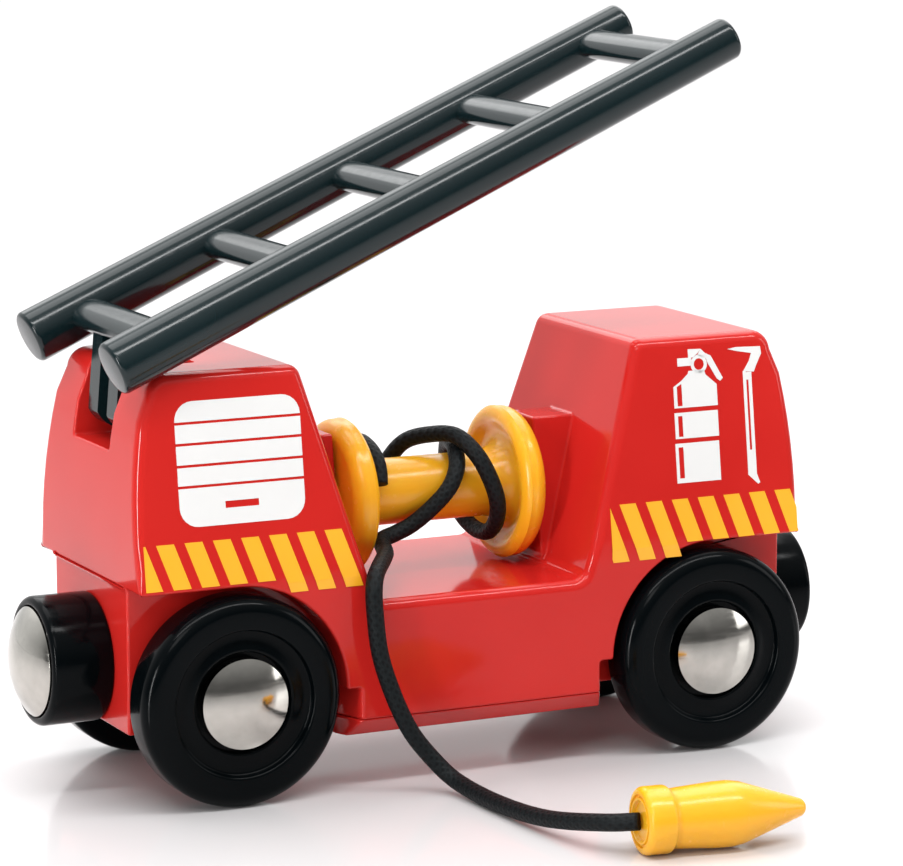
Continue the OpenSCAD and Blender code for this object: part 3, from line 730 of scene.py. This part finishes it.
def rail(sy):
    """A rail that is thicker at its foot than at its tip."""
    profile = ([(0, 0)] + arc(2.35, 0.5, 0.5, 270, 360, 4) + arc(1.7, RAIL_LEN - 0.6, 0.6, 0, 90, 5)
               + [(0, RAIL_LEN)])
    return spun("rail", profile, (-RAIL_BACK, sy * RAIL_HALF_GAP, RAIL_RISE), (1, 0, 0), 48)


def rung(x):
    """A cylinder from rail to rail, stretched along the ladder."""
    bpy.ops.object.select_all(action="DESELECT")
    bpy.ops.mesh.primitive_cylinder_add(vertices=40, radius=RUNG_R * MM, rotation=(math.pi / 2, 0, 0),
                                        depth=2 * (RAIL_HALF_GAP - 1) * MM,
                                        location=(x * MM, 0, RAIL_RISE * MM))
    made = bpy.context.object
    made.scale.x = RUNG_STRETCH
    bpy.ops.object.transform_apply(location=True, rotation=True, scale=True)
    return made


def leg(sy):
    """A flat leg from the first rung down to a round end about the pin."""
    first = RUNG_FIRST - RAIL_BACK
    line = arc(0, 0, LEG_R, 180, 360, 24) + [(first + 2.0, RAIL_RISE - 0.3), (first - 2.0, RAIL_RISE - 0.3)]
    return prism("leg", [(x, sy * LEG_FROM, z) for x, z in line], (0, sy * LEG_WIDE, 0))


ladder = rail(1)
combine(ladder, rail(-1), "UNION")
for i in range(5):
    combine(ladder, rung(RUNG_FIRST - RAIL_BACK + i * RUNG_PITCH), "UNION")
for sy in (-1, 1):
    combine(ladder, leg(sy), "UNION")
bore = spun("bore", [(0, -8), (PIN_BORE_R, -8), (PIN_BORE_R, 8), (0, 8)], (0, 0, 0), (0, 1, 0), 48)
combine(ladder, bore, "DIFFERENCE")
rounded(ladder, EDGE_ROUND, 3, 40, True)
only(ladder)
bpy.ops.object.mode_set(mode="EDIT")
bpy.ops.mesh.select_all(action="SELECT")
bpy.ops.transform.rotate(value=PITCH, orient_axis="Y", center_override=(0, 0, 0))
bpy.ops.transform.translate(value=(HINGE[0] * MM, 0, HINGE[1] * MM))
leave()
dress(ladder, dark_green)
finished(ladder, "ladder_arm", "ladder_plastic", "ladder")

# %% [markdown]
# ## The reel
# A waisted spool: a thin drum that flares into two dished flanges with thick round rims.

# %% Reel
REEL_HALF = 11.3
FLANGE_R = 8.2
RIM = 1.5
ROD_BORE_R = 1.05


def reel_half():
    """(radius, height) from the drum's middle out to the rim and back to the bore."""
    dish = [(3.55, 5.0), (3.6, 4.2), (3.8, 3.3), (4.15, 2.55), (4.6, 2.05), (5.1, 1.85), (5.6, 1.95),
            (6.1, 2.3), (6.6, 2.7), (7.05, 2.9)]
    soft = through([Vector((r, REEL_HALF - h, 0)) for r, h in dish], 3)
    return ([(p.x, p.y) for p in soft] + arc(FLANGE_R - 1.15, REEL_HALF - 1.5, 1.4, 285, 330, 4)
            + arc(FLANGE_R - RIM, REEL_HALF - RIM, RIM, 350, 450, 12)
            + [(2.6, REEL_HALF), (2.2, REEL_HALF - 0.3), (ROD_BORE_R, REEL_HALF - 0.3)])


reel_profile = [(r, -h) for r, h in reversed(reel_half())] + reel_half() + [(ROD_BORE_R, 0.3 - REEL_HALF)]
reel = spun("reel", reel_profile, (REEL_X, 0, REEL_Z), (1, 0, 0), 120)
dress(reel, yellow)
finished(reel, "reel", "yellow_plastic", "hose_reel")
print("reel", len(reel.data.polygons), "faces")

# %% [markdown]
# ## The nozzle
# The hose ends in a toy nozzle: a collar with a ring groove round the hose, a barrel that swells a
# little, and a tapering tip. It is turned along the floor, from the hose's end.

# %% Nozzle
NOZZLE_YAW = math.radians(-7.8)
NOZZLE_AT = HOSE_ROUTE[-1]
nozzle_profile = ([(0.9, 0.3), (1.9, 0.3), (2.1, 0.0), (2.3, 0.0), (2.35, 0.25), (2.6, 0.25), (2.65, 0)]
                  + arc(2.8, 0.6, 0.6, 270, 360, 5) + arc(2.9, 2.5, 0.5, 0, 60, 4)
                  + [(2.97, 3.25), (3.0, 3.6), (3.3, 8.0), (3.3, 9.4), (3.1, 10.6)]
                  + arc(0, 16.6, 1.0, 25, 90, 8))
way = (math.cos(NOZZLE_YAW), math.sin(NOZZLE_YAW), 0)
nozzle = spun("nozzle_shell", [(0, 0.3)] + nozzle_profile, NOZZLE_AT, way, 96)
dress(nozzle, yellow)
finished(nozzle, "vehicle", "yellow_plastic", "nozzle", "nozzle_plug")
print("nozzle", len(nozzle.data.polygons), "faces")

# %% [markdown]
# ## The parts that stay as they are
# Axles, pins, the rod and the screws are plain turned steel: the engineering shapes are right, and they
# only need their finish.

# %% Steel parts
for name in ("front_axle", "rear_axle", "ladder_pin", "reel_rod", "base_screws", "coupler_screws"):
    dress(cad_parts[name], steel)
print("steel parts dressed")

# %% [markdown]
# ## Printed markings
# The markings are pad-printed: thin layers of ink on the sloping flanks. Each is a flat shape drawn in
# the flank's own plane, a few hundredths of a millimetre proud of the plastic.

# %% Ink helpers
INK = 0.04


def on_side(x, z, sy, lift=INK):
    """A point on the sloping flank, given its x and its height, in millimetres."""
    return Vector((x, sy * (side_y(z) + lift), z))


def ink_shape(points, sy):
    """A flat patch of ink with a real thickness, from (x, z) points."""
    return prism("ink", [on_side(x, z, sy, 0.005) for x, z in points], (0, sy * INK, 0))


def joined(name, parts):
    """Joins several pieces into the first, and names it."""
    bpy.ops.object.select_all(action="DESELECT")
    for part in parts:
        part.select_set(True)
    bpy.context.view_layer.objects.active = parts[0]
    bpy.ops.object.join()
    parts[0].name = name
    return parts[0]


ink_white = plastic("ink_white", (0.76, 0.76, 0.75), (0.72, 0.72, 0.71), 0.30, 0.12, 0.05)
ink_yellow = plastic("ink_yellow", (0.90, 0.42, 0.020), (0.86, 0.39, 0.017), 0.28, 0.12, 0.05)
print("inks ready")

# %% Hazard stripes
STRIPE_TOP = 27.9
STRIPE_W = 1.93
STRIPE_LEAN = 0.355


def clip(points, axis, limit, sign):
    """Cuts a convex outline at a line x = limit (axis 0) or z = limit (axis 1)."""
    kept = []
    for a, b in zip(points, points[1:] + points[:1]):
        if sign * (a[axis] - limit) >= 0:
            kept.append(a)
        if (a[axis] - limit) * (b[axis] - limit) < 0:
            t = (limit - a[axis]) / (b[axis] - a[axis])
            kept.append((a[0] + t * (b[0] - a[0]), a[1] + t * (b[1] - a[1])))
    return kept


def stripe(x, foot, x_from, x_to, top, sy):
    """One slanted stripe from its top left corner, bent where the flank starts to lean in."""
    lean = STRIPE_LEAN * (top - foot)
    shape = [(x, top), (x + STRIPE_W, top), (x + STRIPE_W + lean, foot), (x + lean, foot)]
    shape = clip(clip(shape, 0, x_from, 1), 0, x_to, -1)
    halves = [clip(shape, 1, OVERHANG_Z, 1), clip(shape, 1, OVERHANG_Z, -1)]
    return [ink_shape(half, sy) for half in halves if len(half) > 2]


# Each entry is the x of a stripe's top left corner and the height of its foot, higher over the arch.
rear_stripes = [(-39.49 + 3.09 * i, 23.3 if i < 5 else 21.9) for i in range(8)]
front_stripes = [(13.27 + 3.17 * i, 21.55 if i < 3 else 23.05) for i in range(8)]
for sy, side in ((-1, "right"), (1, "left")):
    for end, rows, x_from, x_to, top in (("rear", rear_stripes, -37.75, -13.8, STRIPE_TOP),
                                         ("front", front_stripes, 15.3, 38.1, STRIPE_TOP - 0.25)):
        parts = [part for x, foot in rows for part in stripe(x, foot, x_from, x_to, top, sy)]
        made = joined("stripes_" + end + "_" + side, parts)
        dress(made, ink_yellow)
        finished(made, "vehicle", "yellow_plastic")
print("stripes made, last one", len(made.data.polygons), "faces")

# %% Shapes for the signs
def box_shape(x0, x1, z0, z1):
    """The four corners of an upright rectangle."""
    return [(x0, z0), (x1, z0), (x1, z1), (x0, z1)]


def ring(x, z, r_in, r_out, n=20):
    """A ring as short segments that touch."""
    inner, outer = arc(x, z, r_in, 0, 360, n), arc(x, z, r_out, 0, 360, n)
    return [[inner[i], outer[i], outer[i + 1], inner[i + 1]] for i in range(n)]


print("sign shapes ready")

# %% The shutter: five slats, the lowest with a handle's gap
shutter_lines = [29.4, 33.44, 35.53, 37.7, 39.82, 42.0]
shutter = []
for i, (low, high) in enumerate(zip(shutter_lines, shutter_lines[1:])):
    low, high = low + (0.14 if i else 0), high - (0.14 if i < 4 else 0)
    if i == 0:
        shutter += [arc(-31.6, 31.4, 2.0, 180, 270, 6) + [(-28.6, low), (-28.6, high), (-33.6, high)],
                    box_shape(-28.6, -24.9, low, 31.05), box_shape(-28.6, -24.9, 31.75, high),
                    [(-24.9, high), (-24.9, low)] + arc(-21.8, 31.4, 2.0, 270, 360, 6) + [(-19.8, high)]]
    elif i == 4:
        shutter.append([(-33.6, low), (-19.8, low)] + arc(-21.8, 40.0, 2.0, 0, 90, 6)
                       + arc(-31.6, 40.0, 2.0, 90, 180, 6))
    else:
        shutter.append(box_shape(-33.6, -19.8, low, high))
print("shutter", len(shutter), "shapes")

# %% The extinguisher and the crowbar
bottle = [box_shape(23.6, 23.95, 29.3, 33.5), box_shape(23.95, 24.55, 29.3, 29.8),
          box_shape(23.95, 24.55, 33.1, 33.5), box_shape(24.55, 28.95, 29.3, 33.5),
          box_shape(23.7, 24.1, 34.0, 36.75), box_shape(24.1, 24.65, 34.0, 34.2),
          box_shape(24.1, 24.65, 36.4, 36.75), box_shape(24.65, 29.0, 34.0, 36.75),
          box_shape(23.75, 24.15, 37.25, 39.5), box_shape(24.15, 24.75, 37.25, 37.45),
          [(24.75, 37.25), (29.05, 37.25), (29.05, 39.5), (27.75, 40.6), (27.6, 41.1), (25.7, 41.1),
           (25.6, 40.8), (24.75, 40.1)],
          [(23.75, 39.5), (24.15, 39.5), (24.75, 39.8), (24.75, 40.1)],
          box_shape(24.4, 26.1, 41.65, 42.5),
          [(25.75, 42.5), (26.3, 42.5), (26.9, 42.9), (27.3, 43.35), (25.75, 43.4)],
          [(27.8, 42.9), (28.5, 42.55), (29.85, 40.1), (29.5, 39.8), (29.1, 40.1), (28.1, 41.8),
           (27.9, 42.3)],
          [(26.9, 42.7), (27.9, 42.3), (27.8, 42.9), (27.3, 43.35)]] + ring(27.0, 41.75, 0.62, 1.0)
crowbar = [[(30.6, 43.1), (31.6, 42.85), (33.5, 42.5), (34.75, 42.4), (34.65, 43.15), (31.7, 43.25)],
           [(33.5, 42.5), (33.2, 41.7), (33.95, 41.0), (34.75, 42.4)],
           [(33.2, 41.7), (32.4, 40.6), (33.72, 40.5), (33.95, 41.0)],
           box_shape(32.35, 32.72, 29.6, 40.6), box_shape(33.0, 33.4, 29.6, 40.5),
           box_shape(32.72, 33.0, 39.7, 40.5), box_shape(32.72, 33.0, 29.6, 32.2),
           [(32.3, 29.6), (33.4, 29.6), (33.75, 28.65), (33.5, 28.5)]]
for sy, side in ((-1, "right"), (1, "left")):
    for name, shapes in (("shutter", shutter), ("extinguisher_sign", bottle), ("crowbar_sign", crowbar)):
        made = joined(name + "_" + side, [ink_shape(shape, sy) for shape in shapes])
        dress(made, ink_white)
        finished(made, "vehicle", "red_plastic")
print("signs made, last one", len(made.data.polygons), "faces")

# %% [markdown]
# ## Floor and light
# A pale glossy sheet, wide enough to fill the view from every side, and soft light. A wide overhead
# panel and a small key from the front left give the shape. A narrow lamp above draws the bright line
# along the ladder's rails, a panel further back keeps the floor behind the toy white, and an upright
# strip on the left and a weak fill on the right lift the ends. The plastics mirror a pale surround.

# %% Floor
bpy.ops.object.select_all(action="DESELECT")
bpy.ops.mesh.primitive_plane_add(size=6, location=(0, 0, 0))
floor = bpy.context.object
floor.name = "floor"
material, tree, shader, place = new_finish("pale_floor")
tone = spread(tree, noise(tree, place, 2.0, 2), 0, 1)
pale = two_colours(tree, tone, (0.64, 0.62, 0.625), (0.66, 0.645, 0.65))
tree.links.new(pale, shader.inputs["Base Color"])
shader.inputs["Roughness"].default_value = 0.13
shader.inputs["IOR"].default_value = 1.4
dress(floor, material)
print("floor", floor.dimensions[:2])

# %% Light
def panel_light(name, place, target, size, power):
    """A rectangular lamp at a place, facing a target, with its power in watts."""
    data = bpy.data.lights.new(name, "AREA")
    data.shape = "RECTANGLE"
    data.size, data.size_y = size
    data.energy = power
    lamp = bpy.data.objects.new(name, data)
    bpy.context.scene.collection.objects.link(lamp)
    lamp.location = place
    lamp.rotation_euler = (Vector(target) - Vector(place)).to_track_quat("-Z", "Y").to_euler()
    return lamp


panel_light("overhead", (0.0, 0.25, 0.9), (0, 0, 0), (1.2, 0.5), 5)
panel_light("key", (-0.55, -0.75, 0.75), (0, 0, 0.03), (0.35, 0.35), 1.6)
panel_light("streak", (-0.03, -0.34, 0.78), (0, 0, 0.06), (1.2, 0.1), 5.4)
panel_light("back", (0.6, 1.7, 1.3), (0.5, 1.5, 0), (2.4, 1.2), 18)
panel_light("left_strip", (-0.8, -0.38, 0.12), (0, 0, 0.03), (0.08, 0.4), 3.6)
panel_light("fill", (0.9, -0.5, 0.35), (0, 0, 0.03), (0.3, 0.5), 1.5)


def surround():
    """A pale studio: bright overhead and behind, dim behind the camera."""
    world = bpy.data.worlds.new("surround")
    world.use_nodes = True
    tree = world.node_tree
    way = node(tree, "ShaderNodeSeparateXYZ")
    tree.links.new(node(tree, "ShaderNodeTexCoord").outputs["Generated"], way.inputs[0])
    above = spread(tree, way.outputs["Z"], 0, 0.7, 0.15, 0.9)
    behind = spread(tree, way.outputs["Y"], 0.15, 1.05, -0.1, 0.7)
    total = node(tree, "ShaderNodeMath", operation="ADD")
    tree.links.new(above, total.inputs[0])
    tree.links.new(behind, total.inputs[1])
    tree.links.new(total.outputs[0], tree.nodes["Background"].inputs["Strength"])
    tree.nodes["Background"].inputs["Color"].default_value = (1, 1, 1, 1)
    return world


bpy.context.scene.world = surround()
bpy.context.scene.view_settings.view_transform = "Standard"
